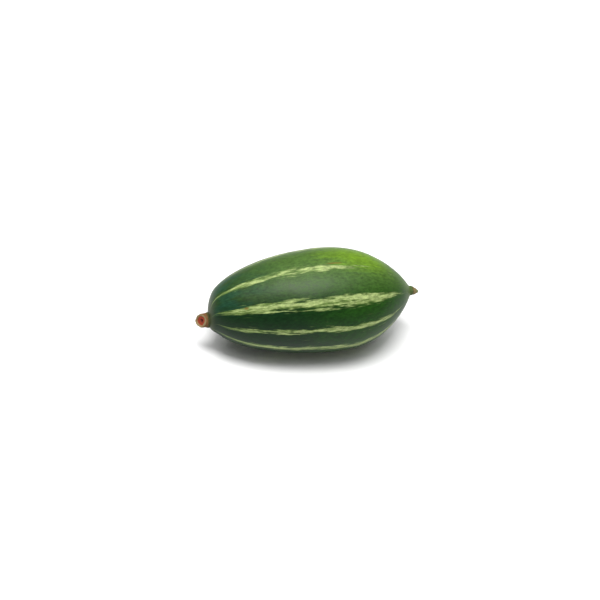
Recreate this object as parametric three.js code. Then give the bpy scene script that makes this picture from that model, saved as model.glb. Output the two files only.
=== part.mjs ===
// A pointed gourd as picked: the green fruit lying on its belly, with the stub of its cut
// stalk at one end and the dried remnant of its flower at the other.
//
// Millimetres, +Z up. The fruit lies along X with its stalk end at -X. The origin is on the
// surface that the gourd rests on, under the centre of its outline.

import * as THREE from "three";

// The fruit, as a straight body of revolution
const FRUIT_LENGTH = 76;
const FRUIT_RADIUS = 19.3;
const WIDEST_AT = 0.55; // share of the length, from the stalk end
const STALK_END = { power: 1.65, fullness: 0.4 }; // blunt
const BLOSSOM_END = { power: 2.55, fullness: 0.82 }; // pointed
const SECTIONS_ALONG = 36;
const SECTIONS_AROUND = 48;

// How the grown fruit differs from that straight body
const WIDER_THAN_TALL = 0.015; // share added to its width and taken off its height
const ARCH = 0.5; // both ends droop this far below the middle
const STALK_DOWN = 1.9; // the stalk leaves this far below the middle of the blunt end,
const STALK_ASIDE = -1.7; // and this far to one side,
const STALK_PULL = 0.045; // and draws the rind that way over this share of the length

// How it lies: its weight settles it with the stalk end a little low, on a small flat patch
const REST_PITCH = THREE.MathUtils.degToRad(3);
const REST_FLAT_DEPTH = 0.32; // the belly is flat up to this height above its lowest point
const UP = new THREE.Vector3(Math.sin(REST_PITCH), 0, Math.cos(REST_PITCH)); // to the fruit

// The stub of the stalk
const STALK_RADIUS = 2.4; // where it leaves the fruit
const STALK_SWELLING = 0.4; // added to the radius near its cut end
const STALK_LENGTH = 3.3;
const STALK_RIM = 0.76; // radius of the cut face, as a share of the swollen radius
const STALK_DISH = 0.35; // the cut face's middle has dried in this far
const STALK_CURL = THREE.MathUtils.degToRad(30);
const STALK_CURLS_TOWARDS = new THREE.Vector3(0, -0.74, 0.67);

// The dried remnant of the flower
const REMNANT_RADIUS = 1.4;
const REMNANT_SEAT = 1.2; // radius where it meets the fruit
const REMNANT_LENGTH = 2.8;
const REMNANT_LEAN = 0.8; // its tip hangs this far below its base

// Radius of the straight fruit at a share of its length from the stalk end.
function fruitRadius(share) {
  const beforeWidest = share < WIDEST_AT;
  const end = beforeWidest ? STALK_END : BLOSSOM_END;
  const towardsEnd = beforeWidest
    ? 1 - share / WIDEST_AT
    : (share - WIDEST_AT) / (1 - WIDEST_AT);
  return FRUIT_RADIUS * (1 - towardsEnd ** end.power) ** end.fullness;
}

// How far the fruit's axis is off the straight line, at a share of its length.
function axisOffset(share) {
  const pull = Math.max(0, 1 - share / STALK_PULL) ** 2;
  const droop = ARCH * (2 * share - 1) ** 2 + STALK_DOWN * pull;
  return new THREE.Vector3(0, STALK_ASIDE * pull, -droop);
}

// Moves every vertex of a geometry to the place that move gives for it.
function reshape(geometry, move) {
  const position = geometry.getAttribute("position");
  const vertex = new THREE.Vector3();
  for (let i = 0; i < position.count; i++) {
    move(vertex.fromBufferAttribute(position, i));
    position.setXYZ(i, vertex.x, vertex.y, vertex.z);
  }
  geometry.computeVertexNormals();
  return geometry;
}

// A solid of revolution about X, from an outline of [distance along X, radius].
function turned(outline, segments) {
  const points = outline.map(([along, radius]) => new THREE.Vector2(radius, along));
  return new THREE.LatheGeometry(points, segments).rotateZ(-Math.PI / 2);
}

function fruitGeometry() {
  // Sections stand closer together towards the ends. The first and last are flat seats.
  const outline = [[0, 0], [0, STALK_RADIUS]];
  for (let i = 2; i <= SECTIONS_ALONG - 2; i++) {
    const share = (1 - Math.cos((Math.PI * i) / SECTIONS_ALONG)) / 2;
    outline.push([share * FRUIT_LENGTH, fruitRadius(share)]);
  }
  outline.push([FRUIT_LENGTH, REMNANT_SEAT], [FRUIT_LENGTH, 0]);

  const grown = reshape(turned(outline, SECTIONS_AROUND), (v) => {
    v.y *= 1 + WIDER_THAN_TALL;
    v.z *= 1 - WIDER_THAN_TALL;
    v.add(axisOffset(v.x / FRUIT_LENGTH));
  });

  let lowest = Infinity;
  reshape(grown, (v) => {
    lowest = Math.min(lowest, v.dot(UP));
  });
  return reshape(grown, (v) => {
    const belowPatch = lowest + REST_FLAT_DEPTH - v.dot(UP);
    v.addScaledVector(UP, Math.max(0, belowPatch));
  });
}

// Curls a solid that stands on the plane x = 0 and runs along -X. Its axis becomes an arc
// that turns through an angle, towards a direction at right angles to X, over its length.
function curl(geometry, length, angle, towards) {
  const side = towards.clone().normalize();
  const pivot = length / angle; // radius of the arc
  const turnAxis = new THREE.Vector3(-1, 0, 0).cross(side);
  return reshape(geometry, (v) => {
    const turn = (-v.x / length) * angle;
    const section = new THREE.Vector3(0, v.y, v.z).applyAxisAngle(turnAxis, turn);
    const along = new THREE.Vector3(-pivot * Math.sin(turn), 0, 0);
    v.copy(along).addScaledVector(side, pivot * (1 - Math.cos(turn))).add(section);
  });
}

function stalkGeometry() {
  const swollen = STALK_RADIUS + STALK_SWELLING;
  const outline = [
    [-STALK_LENGTH + STALK_DISH, 0],
    [-STALK_LENGTH, STALK_RIM * swollen],
    [-0.92 * STALK_LENGTH, 0.93 * swollen],
    [-0.75 * STALK_LENGTH, swollen],
    [-0.5 * STALK_LENGTH, 0.96 * swollen],
    [-0.2 * STALK_LENGTH, STALK_RADIUS],
    [0, STALK_RADIUS],
    [0, 0],
  ];
  return curl(turned(outline, 24), STALK_LENGTH, STALK_CURL, STALK_CURLS_TOWARDS);
}

function remnantGeometry() {
  const outline = [
    [0, 0],
    [0, REMNANT_SEAT],
    [0.2 * REMNANT_LENGTH, REMNANT_RADIUS],
    [0.45 * REMNANT_LENGTH, 0.92 * REMNANT_RADIUS],
    [0.75 * REMNANT_LENGTH, 0.6 * REMNANT_RADIUS],
    [0.95 * REMNANT_LENGTH, 0.27 * REMNANT_RADIUS],
    [REMNANT_LENGTH, 0],
  ];
  return reshape(turned(outline, 20), (v) => {
    v.z -= (REMNANT_LEAN * v.x) / REMNANT_LENGTH;
  });
}

function piece(name, geometry, color, roughness) {
  const material = new THREE.MeshStandardMaterial({ color, roughness, metalness: 0 });
  const mesh = new THREE.Mesh(geometry, material);
  mesh.name = name;
  return mesh;
}

const fruit = piece("fruit", fruitGeometry(), 0x2f5a24, 0.45);

const stalk = piece("stalk_stub", stalkGeometry(), 0x8f5434, 0.8);
stalk.position.copy(axisOffset(0));

const remnant = piece("flower_remnant", remnantGeometry(), 0x7a6444, 0.85);
remnant.position.copy(axisOffset(1)).setX(FRUIT_LENGTH);

// The three pieces are placed in the fruit's own coordinates, and then set down together.
const gourd = new THREE.Group();
gourd.add(fruit, stalk, remnant);
gourd.rotation.y = -REST_PITCH;
const extent = new THREE.Box3().setFromObject(gourd, true);
const centre = extent.getCenter(new THREE.Vector3());
gourd.position.set(-centre.x, -centre.y, -extent.min.z);

const root = new THREE.Group();
root.add(gourd);
export default root;
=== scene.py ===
"""A pointed gourd as picked: the striped fruit lying on its belly, the stub of its cut stalk
and the dried remnant of its flower, on a white table under a soft overhead light."""

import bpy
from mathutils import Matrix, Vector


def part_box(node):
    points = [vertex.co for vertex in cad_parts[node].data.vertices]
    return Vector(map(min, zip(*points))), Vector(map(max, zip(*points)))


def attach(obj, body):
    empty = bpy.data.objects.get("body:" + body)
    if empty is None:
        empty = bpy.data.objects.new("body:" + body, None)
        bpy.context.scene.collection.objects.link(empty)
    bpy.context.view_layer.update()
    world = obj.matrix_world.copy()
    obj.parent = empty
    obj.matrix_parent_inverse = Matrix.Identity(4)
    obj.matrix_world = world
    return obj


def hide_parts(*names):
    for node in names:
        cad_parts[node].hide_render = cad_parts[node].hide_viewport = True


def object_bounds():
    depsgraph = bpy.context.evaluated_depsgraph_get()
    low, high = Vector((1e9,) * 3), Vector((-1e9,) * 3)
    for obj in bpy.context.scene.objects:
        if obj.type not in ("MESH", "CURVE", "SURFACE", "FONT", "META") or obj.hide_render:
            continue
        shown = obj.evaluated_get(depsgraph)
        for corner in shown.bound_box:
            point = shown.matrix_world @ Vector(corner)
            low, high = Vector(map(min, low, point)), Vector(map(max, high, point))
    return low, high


bl_info = {
    "name": "Pointed gourd",
    "version": (1, 0, 0),
    "blender": (4, 5, 0),
    "location": "3D View > Sidebar > Gourd",
    "description": "Makes a pointed gourd with its stalk stub and its flower remnant",
    "category": "Add Mesh",
}

import math

import bmesh
import bpy
from bpy.props import FloatProperty, FloatVectorProperty, PointerProperty
from mathutils import Matrix, Vector

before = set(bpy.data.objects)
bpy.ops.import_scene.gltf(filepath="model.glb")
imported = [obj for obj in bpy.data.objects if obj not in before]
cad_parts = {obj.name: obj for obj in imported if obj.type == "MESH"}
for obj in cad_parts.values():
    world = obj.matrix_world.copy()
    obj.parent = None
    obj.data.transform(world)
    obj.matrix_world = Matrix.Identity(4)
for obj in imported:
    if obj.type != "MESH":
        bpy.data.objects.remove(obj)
CAD_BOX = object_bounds()
FRUIT_LOW, FRUIT_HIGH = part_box("fruit")

MM = 0.001
TABLE_RADIUS = 0.45
TABLE_GAP = 0.05 * MM  # the table is this far under the gourd, so that their faces stay apart

# The fruit's outline is a power law on each side of its widest place, as the frame's is.
WIDEST_AT = 0.55  # share of the length, from the stalk end
STALK_POWER, STALK_FULLNESS = 1.65, 0.4  # blunt
BLOSSOM_POWER, BLOSSOM_FULLNESS = 2.55, 0.82  # pointed
WIDER_THAN_TALL = 0.015  # share added to the width and taken off the height
SAG_PEAK = 0.8 ** 6 * 0.2 ** 1.5  # the fruit sags most at 0.8 of its length,
SAG_TOWARDS = Vector((0, -0.67, -0.74))  # down and to the front
FRUIT_RINGS = 32
SOLID_RINGS = 36  # of the solid in the frame, which settles how the gourd lies
REMNANT_SEAT = 1.2 * MM  # radius of the fruit's end where the remnant sits

# Where the pale stripes run, as angles round the fruit: 0 faces -Y and 90 faces up.
# Each is (angle of its middle, half its usual width), in degrees.
STRIPES = [
    (9.2, 2.9), (41.2, 5.6), (81.2, 4.7), (122.5, 3.3), (159.0, 4.0),
    (194.7, 5.2), (230.3, 4.4), (265.9, 5.0), (301.4, 4.2), (338.3, 4.0),
]
STRIPE_SEAM = 283.6  # the angle between two stripes where the count round the fruit starts
UPPER_SIDE_TILT = math.radians(20)  # the upper side, as an angle past straight up; the stripes fade and the bloom lies there, and light from above is painted there as a lighter olive
SUN_PATCH = (0.74, 0.20, 0.86)  # its middle: share of the length, then shares of the radius
SUN_PATCH_REACH = (18 * MM, 9 * MM, 9 * MM)

# Small corky scars: share of the length, angle round the fruit in degrees, and half the
# length and half the width in mm
SCARS = [
    (0.165, 43.5, 0.9, 0.7), (0.60, 85.8, 3.2, 0.35),
    (0.52, 214.0, 2.0, 0.5), (0.30, 283.0, 0.9, 0.7), (0.78, 150.0, 1.0, 0.6),
]


def linear(hex_colour):
    """The linear RGB of an sRGB colour such as "#3a6b2c"."""
    parts = [int(hex_colour[i:i + 2], 16) / 255 for i in (1, 3, 5)]
    return tuple(c / 12.92 if c <= 0.04045 else ((c + 0.055) / 1.055) ** 2.4 for c in parts)


def length_property(name, description, default):
    return FloatProperty(name=name, description=description, default=default,
                         unit="LENGTH", subtype="DISTANCE")


def colour_property(name, description, default):
    return FloatVectorProperty(name=name, description=description, default=linear(default),
                               subtype="COLOR", size=3, min=0, max=1)


class FruitSizes(bpy.types.PropertyGroup):
    """Sizes of the fruit, and how it lies"""
    length: length_property(
        "Length", "From the stalk's seat to the flower's", FRUIT_HIGH.x - FRUIT_LOW.x)
    radius: length_property(
        "Radius", "At the widest place",
        (FRUIT_HIGH.y - FRUIT_LOW.y) / 2 / (1 + WIDER_THAN_TALL))
    arch: length_property("Arch", "How far both ends droop below the middle", 0.5 * MM)
    sag: length_property(
        "Sag", "How far it hangs down and to the front before the blossom end", 0.6 * MM)
    stalk_down: length_property(
        "Stalk down", "How far below the middle of the blunt end the stalk leaves", 1.9 * MM)
    stalk_aside: length_property(
        "Stalk aside", "How far to the front of the blunt end the stalk leaves", 1.7 * MM)
    stalk_pull: FloatProperty(
        name="Stalk pull", description="Share of the length that the stalk draws its way",
        default=0.045, min=0.01, max=0.5, subtype="FACTOR")
    rest_pitch: FloatProperty(
        name="Rest pitch", description="How far the stalk end dips as the gourd lies",
        default=math.radians(3), unit="ROTATION", subtype="ANGLE")
    rest_flat: length_property(
        "Rest flat", "How far up the belly is taken as flat where it rests", 0.32 * MM)


class StalkSizes(bpy.types.PropertyGroup):
    """Sizes of the stalk's stub"""
    radius: length_property("Radius", "Where the stub leaves the fruit", 2.4 * MM)
    length: length_property("Length", "Along the curled stub", 3.0 * MM)
    curl: FloatProperty(
        name="Curl", description="How far the stub's end is turned from the fruit's length",
        default=math.radians(30), unit="ROTATION", subtype="ANGLE")
    cut_slant: FloatProperty(
        name="Cut slant", description="How much further than the stub's end the cut is turned",
        default=math.radians(20), unit="ROTATION", subtype="ANGLE")
    curl_side: FloatProperty(
        name="Curl side", description="Which way it turns: 0 is to -Y and 90 is up",
        default=math.radians(42), unit="ROTATION", subtype="ANGLE")


class RemnantSizes(bpy.types.PropertyGroup):
    """Sizes of the flower's remnant"""
    radius: length_property("Radius", "At its thickest", 1.45 * MM)
    length: length_property("Length", "Beyond the fruit's end", 2.8 * MM)
    lean: length_property("Lean", "How far its tip hangs below its base", 0.8 * MM)


class RindColours(bpy.types.PropertyGroup):
    """Colours of the rind"""
    deep: colour_property("Deep green", "Between the stripes, near the stalk", "#07260a")
    bloom: colour_property("Bloom", "The bluish bloom near the stalk", "#184235")
    leaf: colour_property("Leaf green", "Between the stripes, near the blossom end", "#1a4008")
    # Olive is painted light: a lighter, greyer green laid on the upper side for the light from above
    # and the sheen of the wax
    olive: colour_property("Olive", "Between the stripes, on the side that had the sun", "#46622a")
    lime: colour_property("Lime", "Where the sun reached most", "#62841c")
    pale: colour_property("Pale green", "The stripes", "#94a468")
    pale_dim: colour_property("Dull pale green", "Streaks within the stripes", "#566c34")
    collar: colour_property("Collar", "Round the stalk", "#2f3b16")
    scar: colour_property("Scar", "Small corky scars", "#6b4a1c")


class StalkColours(bpy.types.PropertyGroup):
    """Colours of the stalk's stub"""
    base: colour_property("Base", "Where it leaves the fruit", "#3c3f18")
    bark: colour_property("Bark", "Its dried side", "#664422")
    rim: colour_property("Rim", "The pale ring round the cut", "#80704e")
    pith: colour_property("Pith", "The cut face", "#86331a")
    pit: colour_property("Pit", "The dark middle of the cut", "#4e1406")


class RemnantColours(bpy.types.PropertyGroup):
    """Colours of the flower's remnant"""
    skin: colour_property("Skin", "The fruit's skin that runs onto it", "#46582e")
    groove: colour_property("Groove", "Where the skin ends", "#4a4420")
    husk: colour_property("Husk", "Its dried side", "#756844")
    tip: colour_property("Tip", "Its end", "#72805a")


class StageSettings(bpy.types.PropertyGroup):
    """The camera's place"""
    azimuth: FloatProperty(
        name="Azimuth", description="0 looks along +Y; below 0 shows more of the stalk end",
        default=math.radians(-16), unit="ROTATION", subtype="ANGLE")
    elevation: FloatProperty(
        name="Elevation", description="How far the camera looks down",
        default=math.radians(42), unit="ROTATION", subtype="ANGLE")
    roll: FloatProperty(
        name="Roll", description="How far the camera leans",
        default=math.radians(6.8), unit="ROTATION", subtype="ANGLE")
    distance: length_property("Distance", "From the camera to the gourd", 0.5163)
    aside: length_property(
        "Aside", "How far the camera aims to the left of the gourd's middle", 3.27 * MM)


# ---------------------------------------------------------------- making meshes


def fruit_radius(sizes, share):
    """Radius of the straight fruit at a share of its length from the stalk end."""
    if share < WIDEST_AT:
        towards_end = 1 - share / WIDEST_AT
        return sizes.radius * (1 - towards_end ** STALK_POWER) ** STALK_FULLNESS
    towards_end = (share - WIDEST_AT) / (1 - WIDEST_AT)
    return sizes.radius * max(0, 1 - towards_end ** BLOSSOM_POWER) ** BLOSSOM_FULLNESS


def axis_offset(sizes, share):
    """How far the fruit's axis is off the straight line, at a share of its length."""
    pull = max(0, 1 - share / sizes.stalk_pull) ** 2
    droop = sizes.arch * (2 * share - 1) ** 2 + sizes.stalk_down * pull
    sag = sizes.sag * share ** 6 * (1 - share) ** 1.5 / SAG_PEAK
    return Vector((0, -sizes.stalk_aside * pull, -droop)) + sag * SAG_TOWARDS


def shares_along(count):
    """Shares of the length from one end to the other, closer together towards the ends."""
    return [(1 - math.cos(math.pi * i / count)) / 2 for i in range(count + 1)]


def setting_down(sizes):
    """The matrix that takes the fruit's own coordinates to where it lies."""
    tip = Matrix.Rotation(-sizes.rest_pitch, 4, "Y")
    lowest = 0
    for share in shares_along(SOLID_RINGS):
        below = -fruit_radius(sizes, share) * (1 - WIDER_THAN_TALL)
        point = Vector((share * sizes.length, 0, below)) + axis_offset(sizes, share)
        lowest = min(lowest, (tip @ point).z)
    return Matrix.Translation((FRUIT_LOW.x, 0, -lowest - sizes.rest_flat)) @ tip


def start_disc(name, vertices, radius, x):
    """A flat disc facing along X, ready in edit mode to be extruded."""
    bpy.ops.object.select_all(action="DESELECT")
    bpy.ops.mesh.primitive_circle_add(
        vertices=vertices, radius=radius, fill_type="NGON",
        location=(x, 0, 0), rotation=(0, math.pi / 2, 0))
    bpy.ops.object.transform_apply(location=True, rotation=True, scale=True)
    disc = bpy.context.active_object
    disc.name = name
    disc.data.name = name
    return disc


def extrude_disc(move, scale, centre):
    """Extrudes the selected disc, and scales the new one about its centre."""
    bpy.ops.mesh.extrude_region_move(TRANSFORM_OT_translate={"value": move})
    bpy.ops.transform.resize(value=(1, scale, scale), center_override=centre)


def ring_value(piece, name, value):
    """Stores a value on the selected points, for a pattern that follows the piece."""
    mesh = bmesh.from_edit_mesh(piece.data)
    layer = mesh.verts.layers.float.get(name) or mesh.verts.layers.float.new(name)
    for vertex in mesh.verts:
        if vertex.select:
            vertex[layer] = value
    bmesh.update_edit_mesh(piece.data)


def make_angular(piece, step, amount):
    """Draws out every few points of a new disc, so that what grows from it is angular."""
    bpy.ops.object.mode_set(mode="EDIT")
    bpy.ops.mesh.select_mode(type="VERT")
    bpy.ops.mesh.select_all(action="DESELECT")
    bpy.ops.object.mode_set(mode="OBJECT")
    for vertex in piece.data.vertices:
        vertex.select = vertex.index % step == 0
    bpy.ops.object.mode_set(mode="EDIT")
    centre = sum((v.co for v in piece.data.vertices), Vector()) / len(piece.data.vertices)
    bpy.ops.transform.resize(value=(1, amount, amount), center_override=centre)
    bpy.ops.mesh.select_all(action="SELECT")


def close_and_smooth(piece, levels):
    """Leaves edit mode with the faces pointing out, and subdivides the mesh."""
    bpy.ops.mesh.select_all(action="SELECT")
    bpy.ops.mesh.normals_make_consistent(inside=False)
    bpy.ops.object.mode_set(mode="OBJECT")
    subdivision = piece.modifiers.new("subdivision", "SUBSURF")
    subdivision.levels = subdivision.render_levels = levels
    bpy.ops.object.modifier_apply(modifier=subdivision.name)
    bpy.ops.object.shade_smooth()


def roughen(piece, name, scale, depth):
    """Pushes the surface in and out by up to half of depth, in lumps about scale across."""
    texture = bpy.data.textures.new(name, "CLOUDS")
    texture.noise_scale = scale
    texture.noise_depth = 1
    lumps = piece.modifiers.new(name, "DISPLACE")
    lumps.texture = texture
    lumps.texture_coords = "LOCAL"
    lumps.mid_level = 0.5
    lumps.strength = depth
    bpy.ops.object.modifier_apply(modifier=lumps.name)


def set_down(piece, sizes, own_place=Matrix.Identity(4)):
    """Puts a piece made in the fruit's coordinates where it lies, with its place in its mesh."""
    piece.matrix_world = setting_down(sizes) @ own_place
    bpy.ops.object.transform_apply(location=True, rotation=True, scale=True)


def hand_over(piece, material, node):
    """Gives a piece its finish, hangs it from the root body, and hides the imported part that it
    stands for.
    """
    piece.data.materials.clear()
    piece.data.materials.append(material)
    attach(piece, "root")
    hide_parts(node)


# ---------------------------------------------------------------- making materials


def new_material(name):
    material = bpy.data.materials.new(name)
    material.use_nodes = True
    material.node_tree.nodes.clear()
    return material


def add_node(tree, kind, inputs=None, **settings):
    """Adds a node with its settings. Each input gets a value, or a link from an output."""
    node = tree.nodes.new(kind)
    for name, value in settings.items():
        setattr(node, name, value)
    for key, value in (inputs or {}).items():
        if isinstance(value, bpy.types.Node):
            value = value.outputs[0]
        if isinstance(value, bpy.types.NodeSocket):
            tree.links.new(value, node.inputs[key])
        else:
            node.inputs[key].default_value = value
    return node


def fill_ramp(node, stops):
    """Sets a colour ramp's stops from (position, colour), a colour or a grey level."""
    elements = node.color_ramp.elements
    while len(elements) < len(stops):
        elements.new(0.5)
    for element, (position, colour) in zip(elements, stops):
        element.position = position
        if isinstance(colour, (int, float)):
            colour = (colour, colour, colour)
        element.color = (*colour, 1)
    return node


def rgba(colour):
    return (*colour, 1)


def stripe_stops():
    """Ramp stops round the fruit: 1 in the middle of a stripe, 0.5 on its edge, 0 beyond."""
    stops = []
    for angle, half_width in STRIPES:
        middle = (angle - STRIPE_SEAM) % 360
        stops.append(((middle - 2 * half_width) / 360, 0))
        stops.append((middle / 360, 1))
        stops.append(((middle + 2 * half_width) / 360, 0))
    return sorted(stops)


def rind_material(colours, sizes):
    """Rind of a fresh gourd: thin and smooth under its own wax, so it has a wide soft gloss.
    The stripes are streaks of pale cells, so their edges are ragged along the fruit."""
    material = new_material("waxy_gourd_rind")
    tree = material.node_tree
    length = sizes.length

    # Where a point is on the straight fruit, in metres from the stalk end
    place = add_node(tree, "ShaderNodeAttribute", attribute_name="rind_place")
    xyz = add_node(tree, "ShaderNodeSeparateXYZ", {0: place.outputs["Vector"]})
    share = add_node(tree, "ShaderNodeMath", {0: xyz.outputs["X"], 1: length},
                     operation="DIVIDE")
    across = add_node(tree, "ShaderNodeVectorMath",
                      {0: place.outputs["Vector"], 1: (0, 1, 1)}, operation="MULTIPLY")
    outward = add_node(tree, "ShaderNodeVectorMath", {0: across}, operation="NORMALIZE")
    along = add_node(tree, "ShaderNodeCombineXYZ", {"X": xyz.outputs["X"]})
    # The rind as if laid on a cylinder, in mm: patterns keep their angle up to the ends
    peel = add_node(tree, "ShaderNodeVectorMath",
                    {0: outward, 1: (sizes.radius, sizes.radius, sizes.radius), 2: along},
                    operation="MULTIPLY_ADD")
    peel_mm = add_node(tree, "ShaderNodeVectorMath", {0: peel, "Scale": 1 / MM},
                       operation="SCALE")

    def noise(coordinates, size_mm, detail=2.0, roughness=0.5, offset=0.0):
        """Noise whose grains measure size_mm along X, Y and Z of the coordinates."""
        stretched = add_node(tree, "ShaderNodeMapping", {
            "Vector": coordinates,
            "Location": (offset, offset, offset),
            "Scale": tuple(1 / mm for mm in size_mm),
        })
        return add_node(tree, "ShaderNodeTexNoise", {
            "Vector": stretched, "Scale": 1.0, "Detail": detail, "Roughness": roughness})

    def maths(operation, *values):
        return add_node(tree, "ShaderNodeMath", dict(enumerate(values)), operation=operation)

    def span(value, low, high, out_low=0.0, out_high=1.0):
        """Turns low..high smoothly into out_low..out_high."""
        return add_node(tree, "ShaderNodeMapRange", {
            "Value": value, "From Min": low, "From Max": high,
            "To Min": out_low, "To Max": out_high}, interpolation_type="SMOOTHSTEP")

    def mix(amount, first, second, blend_type="MIX"):
        return add_node(tree, "ShaderNodeMix", {
            0: amount, 6: first, 7: second}, data_type="RGBA", blend_type=blend_type,
            clamp_factor=True).outputs[2]

    # Round the fruit, from 0 to 1, with a slow wander so that no stripe is straight
    turned = add_node(tree, "ShaderNodeVectorRotate", {
        "Vector": outward, "Angle": math.radians(STRIPE_SEAM + 90)},
        rotation_type="X_AXIS")
    around = add_node(tree, "ShaderNodeSeparateXYZ", {0: turned})
    angle = maths("ARCTAN2", around.outputs["Y"], around.outputs["Z"])
    wander = noise(peel_mm, (22, 9, 9), detail=1.0)
    wandering = maths("MULTIPLY_ADD", wander, 0.11, -0.055)
    around_share = maths("MULTIPLY_ADD", maths("ADD", angle, wandering), 1 / math.tau, 0.5)

    stripes = fill_ramp(add_node(tree, "ShaderNodeValToRGB", {"Fac": around_share}),
                        stripe_stops())
    # Streaks about 9 mm long and 1 mm wide fray the stripes' edges, and finer ones fleck them
    streaks = noise(peel_mm, (9.0, 1.1, 1.1), detail=3.0, roughness=0.55)
    flecks = noise(peel_mm, (3.6, 0.5, 0.5), detail=2.0, roughness=0.6, offset=31.0)
    fray = maths("MULTIPLY_ADD", streaks, 1.6, -0.8)
    fleck = maths("MULTIPLY_ADD", flecks, 1.0, -0.5)
    edge = maths("ADD", stripes.outputs["Color"], maths("ADD", fray, fleck))
    upper_side_dot = add_node(tree, "ShaderNodeVectorMath", {
        0: outward, 1: (0, math.sin(UPPER_SIDE_TILT), math.cos(UPPER_SIDE_TILT))}, operation="DOT_PRODUCT")
    upper_facing = upper_side_dot.outputs["Value"]
    fading = span(share, 0.80, 0.99, 0.0, 0.55)
    bleached = maths("MULTIPLY", span(share, 0.55, 0.78, 0.0, 0.5), span(upper_facing, 0.6, 0.9))
    starting = span(share, 0.0, 0.16, 0.42, 0.0)
    # The sunned patch on the upper side, past the middle
    patch_middle = Vector(SUN_PATCH) * Vector((length, sizes.radius, sizes.radius))
    sunned = add_node(tree, "ShaderNodeMapping", {
        "Vector": place.outputs["Vector"], "Location": tuple(-patch_middle)}, vector_type="POINT")
    reach = add_node(tree, "ShaderNodeVectorMath", {
        0: sunned, 1: tuple(1 / metres for metres in SUN_PATCH_REACH)}, operation="MULTIPLY")
    from_patch = add_node(tree, "ShaderNodeVectorMath", {0: reach}, operation="LENGTH")
    patch_edge = maths("ADD", from_patch.outputs["Value"], maths("MULTIPLY_ADD", streaks, 0.8, -0.4))
    sunned_amount = span(patch_edge, 1.25, 0.2)
    edge = maths("SUBTRACT", edge, maths("ADD", fading, starting))
    edge = maths("MULTIPLY_ADD", sunned_amount, -0.4, maths("SUBTRACT", edge, bleached))
    striped = span(edge, 0.28, 0.80)

    # Between the stripes: deep bluish green, turning leaf green, mottled at two scales
    mottle = noise(peel_mm, (9, 5, 5), detail=3.0, offset=7.0)
    grain = noise(peel_mm, (1.5, 0.85, 0.85), detail=3.0, roughness=0.7, offset=13.0)
    ripeness = maths("ADD", share, maths("MULTIPLY_ADD", mottle, 0.5, -0.25))
    green = mix(span(ripeness, 0.25, 0.95), rgba(colours.deep), rgba(colours.leaf))

    # Painted light and painted sheen: the upper side between the stripes turns a lighter, greyer
    # olive, for the light from above and the wax's sheen
    olive = maths("MULTIPLY", span(upper_facing, 0.2, 1.0),
                  span(share, 0.05, 0.42, 0.3, 0.85))
    green = mix(olive, green, rgba(colours.olive))
    green = mix(maths("MULTIPLY", sunned_amount, 0.85), green, rgba(colours.lime))
    cloudy = noise(peel_mm, (8, 5, 5), detail=2.0, offset=19.0)
    bloomed = maths("MULTIPLY", span(share, 0.4, 0.08, 0.0, 0.5), span(cloudy, 0.35, 0.65))
    bloomed = maths("MULTIPLY", bloomed, span(upper_facing, 0.1, 0.5))
    green = mix(bloomed, green, rgba(colours.bloom))

    washes = noise(peel_mm, (14, 2.2, 2.2), detail=2.0, offset=43.0)
    paleness = maths("ADD", edge, maths("MULTIPLY_ADD", flecks, 1.5, -0.75))
    paleness = maths("ADD", paleness, maths("MULTIPLY_ADD", washes, 1.4, -0.7))
    paleness = maths("SUBTRACT", paleness, span(share, 0.0, 0.3, 0.5, 0.0))
    pale = mix(span(paleness, 0.3, 1.15), rgba(colours.pale_dim), rgba(colours.pale))
    colour = mix(striped, green, pale)
    shade = span(grain, 0.25, 0.75, 0.66, 1.34)
    colour = mix(1.0, colour, add_node(tree, "ShaderNodeCombineXYZ", {
        0: shade, 1: shade, 2: shade}).outputs[0], "MULTIPLY")
    colour = mix(span(share, 0.032, 0.0), colour, rgba(colours.collar))
    # Paler towards the pointed end: partly the rind's own paler tip, partly painted sheen
    colour = mix(span(share, 0.93, 1.0, 0.0, 0.7), colour, rgba(colours.pale_dim))
    for scar_share, scar_angle, half_length, half_width in SCARS:
        round_fruit = math.radians(scar_angle)
        scar_place = Vector((scar_share * sizes.length,
                             -sizes.radius * math.cos(round_fruit),
                             sizes.radius * math.sin(round_fruit))) / MM
        off_scar = add_node(tree, "ShaderNodeVectorMath", {
            0: peel_mm, 1: tuple(scar_place)}, operation="SUBTRACT")
        in_scars = add_node(tree, "ShaderNodeVectorMath", {
            0: off_scar, 1: (1 / half_length, 1 / half_width, 1 / half_width)},
            operation="MULTIPLY")
        scar_reach = add_node(tree, "ShaderNodeVectorMath", {0: in_scars}, operation="LENGTH")
        ragged = maths("ADD", scar_reach.outputs["Value"],
                       maths("MULTIPLY_ADD", flecks, 1.2, -0.6))
        colour = mix(span(ragged, 1.1, 0.5, 0.0, 0.6), colour, rgba(colours.scar))

    # Fine pores and the slight relief of the streaks
    pores = noise(peel_mm, (0.7, 0.55, 0.55), detail=2.0, offset=3.0)
    relief = maths("MULTIPLY_ADD", striped, 0.5, pores)
    bump = add_node(tree, "ShaderNodeBump", {
        "Height": relief, "Strength": 0.5, "Distance": 0.06 * MM})
    gloss = span(grain, 0.2, 0.8, 0.36, 0.5)
    shader = add_node(tree, "ShaderNodeBsdfPrincipled", {
        "Base Color": colour, "Roughness": gloss, "Normal": bump,
        "Specular IOR Level": 0.16, "Sheen Weight": 0.01, "Sheen Roughness": 0.35})
    add_node(tree, "ShaderNodeOutputMaterial", {"Surface": shader})
    return material


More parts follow.
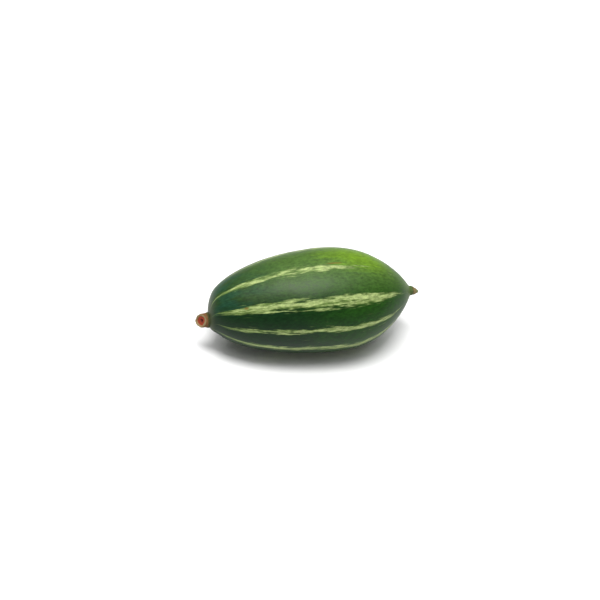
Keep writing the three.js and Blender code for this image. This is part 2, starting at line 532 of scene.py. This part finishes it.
def stalk_material(colours):
    """A dried, cut stalk: corky and matt, its cut face sunken and red-brown in a pale rim."""
    material = new_material("dried_stalk")
    tree = material.node_tree
    place = add_node(tree, "ShaderNodeAttribute", attribute_name="from_base")
    texture = add_node(tree, "ShaderNodeTexCoord")
    fibres = add_node(tree, "ShaderNodeMapping", {
        "Vector": texture.outputs["Object"],
        "Scale": (1 / (1.6 * MM), 1 / (0.35 * MM), 1 / (0.35 * MM))})
    grain = add_node(tree, "ShaderNodeTexNoise", {
        "Vector": fibres, "Scale": 1.0, "Detail": 3.0, "Roughness": 0.6})
    uneven = add_node(tree, "ShaderNodeMath", {0: grain, 1: 0.5, 2: -0.25},
                      operation="MULTIPLY_ADD")
    where = add_node(tree, "ShaderNodeMath", {0: place.outputs["Fac"], 1: uneven})
    half = add_node(tree, "ShaderNodeMath", {0: where, 1: 0.5}, operation="MULTIPLY")
    ramp = fill_ramp(add_node(tree, "ShaderNodeValToRGB", {"Fac": half}), [
        (0.03, colours.base), (0.18, colours.bark), (0.4, colours.bark),
        (0.47, colours.rim), (0.59, colours.rim), (0.65, colours.pith),
        (0.82, colours.pith), (0.97, colours.pit)])
    bump = add_node(tree, "ShaderNodeBump", {
        "Height": grain, "Strength": 0.6, "Distance": 0.12 * MM})
    shader = add_node(tree, "ShaderNodeBsdfPrincipled", {
        "Base Color": ramp, "Roughness": 0.75, "Normal": bump,
        "Specular IOR Level": 0.3})
    add_node(tree, "ShaderNodeOutputMaterial", {"Surface": shader})
    return material


def remnant_material(colours):
    """A dried flower: papery and matt, olive brown, with a grey-green end."""
    material = new_material("dried_flower")
    tree = material.node_tree
    place = add_node(tree, "ShaderNodeAttribute", attribute_name="from_base")
    texture = add_node(tree, "ShaderNodeTexCoord")
    fibres = add_node(tree, "ShaderNodeMapping", {
        "Vector": texture.outputs["Object"],
        "Scale": (1 / (1.2 * MM), 1 / (0.3 * MM), 1 / (0.3 * MM))})
    grain = add_node(tree, "ShaderNodeTexNoise", {
        "Vector": fibres, "Scale": 1.0, "Detail": 3.0, "Roughness": 0.6})
    uneven = add_node(tree, "ShaderNodeMath", {0: grain, 1: 0.4, 2: -0.2},
                      operation="MULTIPLY_ADD")
    where = add_node(tree, "ShaderNodeMath", {0: place.outputs["Fac"], 1: uneven})
    ramp = fill_ramp(add_node(tree, "ShaderNodeValToRGB", {"Fac": where}), [
        (0.04, colours.skin), (0.15, colours.groove), (0.34, colours.husk),
        (0.62, colours.husk), (0.86, colours.tip)])
    bump = add_node(tree, "ShaderNodeBump", {
        "Height": grain, "Strength": 0.6, "Distance": 0.1 * MM})
    shader = add_node(tree, "ShaderNodeBsdfPrincipled", {
        "Base Color": ramp, "Roughness": 0.8, "Normal": bump,
        "Specular IOR Level": 0.3})
    add_node(tree, "ShaderNodeOutputMaterial", {"Surface": shader})
    return material


# ---------------------------------------------------------------- the pieces


class GOURD_OT_fruit(bpy.types.Operator):
    """Grow the fruit from rings along its length, and set it down on its belly"""
    bl_idname = "gourd.fruit"
    bl_label = "Fruit"
    bl_options = {"REGISTER", "UNDO"}

    def execute(self, context):
        sizes = context.scene.gourd_fruit
        shares = shares_along(FRUIT_RINGS)
        seats = {0: context.scene.gourd_stalk.radius, FRUIT_RINGS: REMNANT_SEAT}
        fruit = start_disc("gourd_fruit", 40, seats[0], 0)
        bpy.ops.object.mode_set(mode="EDIT")
        bpy.ops.mesh.select_all(action="SELECT")
        start = axis_offset(sizes, 0)
        bpy.ops.transform.translate(value=start)
        bpy.ops.transform.resize(
            value=(1, 1 + WIDER_THAN_TALL, 1 - WIDER_THAN_TALL), center_override=start)
        centre, radius = start, seats[0]
        for i in list(range(2, FRUIT_RINGS - 1)) + [FRUIT_RINGS]:
            new_centre = axis_offset(sizes, shares[i]) + Vector((shares[i] * sizes.length, 0, 0))
            new_radius = seats.get(i, fruit_radius(sizes, shares[i]))
            extrude_disc(new_centre - centre, new_radius / radius, new_centre)
            centre, radius = new_centre, new_radius
        close_and_smooth(fruit, 3)
        self.mark_places(fruit, sizes)
        roughen(fruit, "slow_swellings", 17 * MM, 0.36 * MM)
        roughen(fruit, "small_dents", 4.5 * MM, 0.1 * MM)
        set_down(fruit, sizes)
        self.flatten_belly(fruit)
        material = rind_material(context.scene.gourd_rind_colours, sizes)
        hand_over(fruit, material, "fruit")
        return {"FINISHED"}

    @staticmethod
    def mark_places(fruit, sizes):
        """Stores where each point would be on a straight round fruit, for the rind's pattern."""
        places = []
        for vertex in fruit.data.vertices:
            share = min(max(vertex.co.x / sizes.length, 0), 1)
            off_axis = vertex.co - axis_offset(sizes, share)
            places += [vertex.co.x, off_axis.y / (1 + WIDER_THAN_TALL),
                       off_axis.z / (1 - WIDER_THAN_TALL)]
        attribute = fruit.data.attributes.new("rind_place", "FLOAT_VECTOR", "POINT")
        attribute.data.foreach_set("vector", places)

    @staticmethod
    def flatten_belly(fruit):
        """Flattens what is below the table onto it."""
        bpy.ops.object.mode_set(mode="EDIT")
        bpy.ops.mesh.select_all(action="DESELECT")
        bpy.ops.mesh.select_mode(type="VERT")
        bpy.ops.object.mode_set(mode="OBJECT")
        for vertex in fruit.data.vertices:
            vertex.select = vertex.co.z < 0
        bpy.ops.object.mode_set(mode="EDIT")
        bpy.ops.transform.resize(value=(1, 1, 0), center_override=(0, 0, 0))
        bpy.ops.object.mode_set(mode="OBJECT")


class GOURD_OT_stalk_stub(bpy.types.Operator):
    """Grow the stub of the stalk, curled towards the front, with its sunken cut face"""
    bl_idname = "gourd.stalk_stub"
    bl_label = "Stalk stub"
    bl_options = {"REGISTER", "UNDO"}

    # (share of the length, share of the radius, place on the pattern: the side runs from
    # 0 to 1, and the cut face from 1 at its rim to 2 in its middle)
    RINGS = [
        (0.00, 1.22, 0.00), (0.12, 1.14, 0.12), (0.30, 1.08, 0.25), (0.52, 1.07, 0.5),
        (0.74, 1.07, 0.7), (0.88, 1.06, 0.84), (0.97, 1.00, 0.96), (1.00, 0.92, 1.03),
        (0.98, 0.84, 1.1), (0.90, 0.74, 1.22), (0.84, 0.58, 1.4), (0.86, 0.40, 1.6),
        (0.78, 0.24, 1.85), (0.68, 0.12, 2.0),
    ]

    def execute(self, context):
        sizes = context.scene.gourd_stalk
        fruit_sizes = context.scene.gourd_fruit
        sunk = 0.6 * MM  # the stub starts this far inside the fruit
        radius = 1.22 * sizes.radius
        stub = start_disc("gourd_stalk_stub", 8, radius, sunk)
        make_angular(stub, 2, 1.14)
        ring_value(stub, "from_base", 0)
        centre = Vector((sunk, 0, 0))
        turned = 0
        pivot = sizes.length / sizes.curl
        for share, widening, place in self.RINGS:
            bend = share * sizes.curl
            turn = bend + share * sizes.cut_slant
            new_centre = Vector((-pivot * math.sin(bend), 0, pivot * (1 - math.cos(bend))))
            new_radius = widening * sizes.radius
            bpy.ops.mesh.extrude_region_move(
                TRANSFORM_OT_translate={"value": new_centre - centre})
            scale = new_radius / radius
            bpy.ops.transform.resize(value=(scale, scale, scale), center_override=new_centre)
            bpy.ops.transform.rotate(
                value=turned - turn, orient_axis="Y", center_override=new_centre)
            ring_value(stub, "from_base", place)
            centre, radius, turned = new_centre, new_radius, turn
        close_and_smooth(stub, 4)
        roughen(stub, "cork", 1.1 * MM, 0.3 * MM)
        aim = Matrix.Rotation(math.pi / 2 - sizes.curl_side, 4, "X")
        place = Matrix.Translation(axis_offset(fruit_sizes, 0)) @ aim
        set_down(stub, fruit_sizes, place)
        material = stalk_material(context.scene.gourd_stalk_colours)
        hand_over(stub, material, "stalk_stub")
        return {"FINISHED"}


class GOURD_OT_flower_remnant(bpy.types.Operator):
    """Grow the dried remnant of the flower at the fruit's pointed end"""
    bl_idname = "gourd.flower_remnant"
    bl_label = "Flower remnant"
    bl_options = {"REGISTER", "UNDO"}

    # (share of the length, share of the radius); the pattern follows the length
    RINGS = [
        (0.00, 1.24), (0.06, 1.17), (0.13, 1.10), (0.24, 1.06), (0.42, 0.97), (0.58, 0.82),
        (0.72, 0.62), (0.86, 0.45), (0.95, 0.33), (1.00, 0.18),
    ]

    def execute(self, context):
        sizes = context.scene.gourd_remnant
        fruit_sizes = context.scene.gourd_fruit
        sunk = 1.0 * MM  # the remnant starts this far inside the fruit
        radius = 1.3 * sizes.radius
        remnant = start_disc("gourd_flower_remnant", 20, radius, -sunk)
        make_angular(remnant, 4, 1.06)
        ring_value(remnant, "from_base", 0)
        centre = Vector((-sunk, 0, 0))
        for share, widening in self.RINGS:
            new_centre = Vector((share * sizes.length, 0, -share * sizes.lean))
            new_radius = widening * sizes.radius
            extrude_disc(new_centre - centre, new_radius / radius, new_centre)
            ring_value(remnant, "from_base", share)
            centre, radius = new_centre, new_radius
        close_and_smooth(remnant, 3)
        roughen(remnant, "husk", 0.8 * MM, 0.22 * MM)
        end = axis_offset(fruit_sizes, 1) + Vector((fruit_sizes.length, 0, 0))
        set_down(remnant, fruit_sizes, Matrix.Translation(end))
        material = remnant_material(context.scene.gourd_remnant_colours)
        hand_over(remnant, material, "flower_remnant")
        return {"FINISHED"}


class GOURD_OT_stage(bpy.types.Operator):
    """Set the table, the lights and the camera"""
    bl_idname = "gourd.stage"
    bl_label = "Stage"
    bl_options = {"REGISTER", "UNDO"}

    def execute(self, context):
        scene = context.scene
        settings = scene.gourd_stage
        low, high = CAD_BOX
        middle = (low + high) / 2

        bpy.ops.object.select_all(action="DESELECT")
        bpy.ops.mesh.primitive_circle_add(vertices=96, radius=TABLE_RADIUS, fill_type="NGON",
                                          location=(0, 0, -TABLE_GAP))
        bpy.ops.object.transform_apply(location=True)
        table = context.active_object
        table.name = "stage_table"
        paint = new_material("white_table")
        shader = add_node(paint.node_tree, "ShaderNodeBsdfPrincipled", {
            "Base Color": rgba(linear("#f0f0f0")), "Roughness": 0.6,
            "Specular IOR Level": 0.2})
        add_node(paint.node_tree, "ShaderNodeOutputMaterial", {"Surface": shader})
        table.data.materials.append(paint)

        world = bpy.data.worlds.new("white_room")
        scene.world = world
        world.use_nodes = True
        # The room is dim, but its far wall shows as white as the table
        ray = add_node(world.node_tree, "ShaderNodeLightPath")
        brightness = add_node(world.node_tree, "ShaderNodeMapRange", {
            "Value": ray.outputs["Is Camera Ray"], "To Min": 0.18, "To Max": 1.0})
        background = world.node_tree.nodes["Background"]
        background.inputs["Color"].default_value = (1, 1, 1, 1)
        world.node_tree.links.new(brightness.outputs[0], background.inputs["Strength"])

        # Light from the whole ceiling keeps the shadow soft and the table white
        bpy.ops.object.light_add(type="SUN", rotation=(math.radians(-6), 0, 0))
        ceiling = context.active_object
        ceiling.name = "ceiling"
        ceiling.data.energy = 2.1
        ceiling.data.angle = math.radians(80)

        bpy.ops.object.light_add(type="AREA", location=(-0.07, -0.10, 0.75))
        softbox = context.active_object
        softbox.name = "softbox"
        softbox.data.shape = "RECTANGLE"
        softbox.data.size = 0.42
        softbox.data.size_y = 0.26
        softbox.data.energy = 5.8
        softbox.rotation_euler = (middle - softbox.location).to_track_quat("-Z", "Y").to_euler()

        camera = bpy.data.objects.new("camera", bpy.data.cameras.new("camera"))
        scene.collection.objects.link(camera)
        camera.data.lens = 85
        camera.data.sensor_width = 36
        a, e = settings.azimuth, settings.elevation
        back = Vector((math.sin(a) * math.cos(e), -math.cos(a) * math.cos(e), math.sin(e)))
        aim = (-back).to_track_quat("-Z", "Y").to_matrix().to_4x4()
        turn = aim @ Matrix.Rotation(settings.roll, 4, "Z")
        stand = Vector((-settings.aside, 0, settings.distance))
        camera.matrix_world = Matrix.Translation(middle) @ turn @ Matrix.Translation(stand)
        camera.data.clip_start = 0.01
        scene.camera = camera
        scene.view_settings.view_transform = "Standard"
        return {"FINISHED"}


class GOURD_PT_pieces(bpy.types.Panel):
    """The gourd's sizes and colours, and a button for each piece"""
    bl_idname = "GOURD_PT_pieces"
    bl_label = "Pointed gourd"
    bl_space_type = "VIEW_3D"
    bl_region_type = "UI"
    bl_category = "Gourd"

    def draw(self, context):
        for group, operators in (
            ("gourd_fruit", ["gourd.fruit"]),
            ("gourd_rind_colours", []),
            ("gourd_stalk", ["gourd.stalk_stub"]),
            ("gourd_stalk_colours", []),
            ("gourd_remnant", ["gourd.flower_remnant"]),
            ("gourd_remnant_colours", []),
            ("gourd_stage", ["gourd.stage"]),
        ):
            settings = getattr(context.scene, group)
            box = self.layout.box()
            for name in settings.bl_rna.properties.keys():
                if name not in {"rna_type", "name"}:
                    box.prop(settings, name)
            for operator in operators:
                box.operator(operator)


GROUPS = {
    "gourd_fruit": FruitSizes,
    "gourd_stalk": StalkSizes,
    "gourd_remnant": RemnantSizes,
    "gourd_rind_colours": RindColours,
    "gourd_stalk_colours": StalkColours,
    "gourd_remnant_colours": RemnantColours,
    "gourd_stage": StageSettings,
}
OTHER_CLASSES = [GOURD_OT_fruit, GOURD_OT_stalk_stub, GOURD_OT_flower_remnant, GOURD_OT_stage,
                 GOURD_PT_pieces]


def register():
    for name, group in GROUPS.items():
        bpy.utils.register_class(group)
        setattr(bpy.types.Scene, name, PointerProperty(type=group))
    for other in OTHER_CLASSES:
        bpy.utils.register_class(other)


def unregister():
    for other in reversed(OTHER_CLASSES):
        bpy.utils.unregister_class(other)
    for name, group in reversed(GROUPS.items()):
        delattr(bpy.types.Scene, name)
        bpy.utils.unregister_class(group)


def main():
    register()
    bpy.ops.gourd.fruit()
    bpy.ops.gourd.stalk_stub()
    bpy.ops.gourd.flower_remnant()
    bpy.ops.gourd.stage()


if __name__ == "__main__":
    main()
